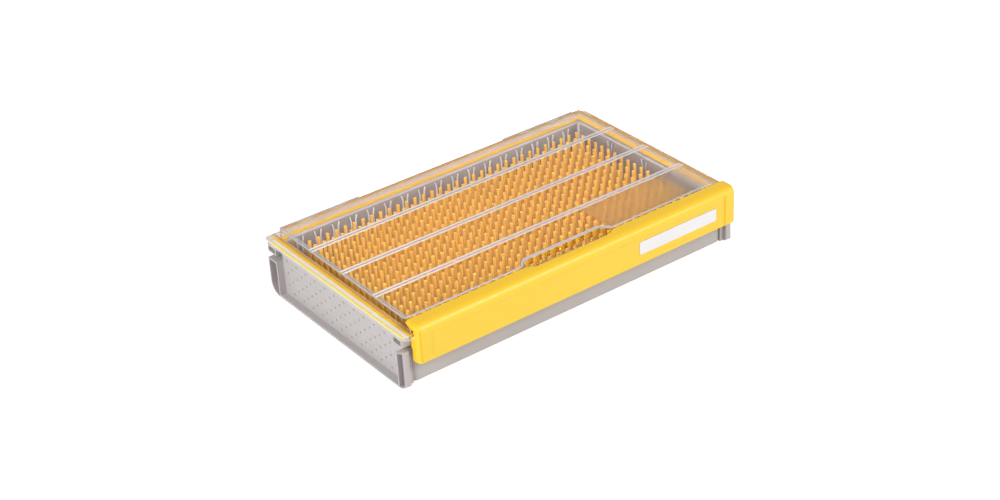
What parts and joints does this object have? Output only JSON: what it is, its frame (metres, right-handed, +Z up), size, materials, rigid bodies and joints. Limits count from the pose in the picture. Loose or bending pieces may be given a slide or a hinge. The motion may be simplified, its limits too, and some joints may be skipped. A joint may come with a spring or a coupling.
{
  "type": "fishing tackle box",
  "caption": "Flat fishing tackle box: grey tray with an orange peg mat, clear ribbed lid on pinned hinges, yellow rim seal and a full-width yellow rocker latch with a blank label.",
  "frame": {"origin": "centre of the tray's footprint on its underside", "axes": "+X to the right along the length, +Y from the latch to the hinge, +Z up"},
  "size_m": [0.387, 0.2342, 0.0642],
  "materials": {
    "tray_grey": "satin moulded grey plastic",
    "peg_orange": "satin orange plastic",
    "seal_yellow": "soft yellow seal",
    "lid_clear": "clear polished plastic",
    "latch_yellow": "satin yellow plastic",
    "label_white": "blank white label",
    "pin_steel": "drawn steel pin"
  },
  "bodies": {
    "base": {"base_tray": "tray_grey", "peg_mat": "peg_orange", "rim_seal": "seal_yellow", "hinge_pin_left": "pin_steel", "hinge_pin_right": "pin_steel"},
    "lid": {"lid": "lid_clear", "latch_pin_left": "pin_steel", "latch_pin_right": "pin_steel"},
    "latch": {"latch": "latch_yellow", "label_plate": "label_white"}
  },
  "joints": [
    {"name": "lid_hinge", "type": "hinge", "parent": "base", "child": "lid", "pos_m": [0, 0.1102, 0.0564], "axis": [-1, 0, 0], "range_deg": [0, 110]},
    {"name": "latch_pivot", "type": "hinge", "parent": "lid", "child": "latch", "pos_m": [0, -0.1121, 0.0561], "axis": [-1, 0, 0], "range_deg": [0, 25]}
  ]
}
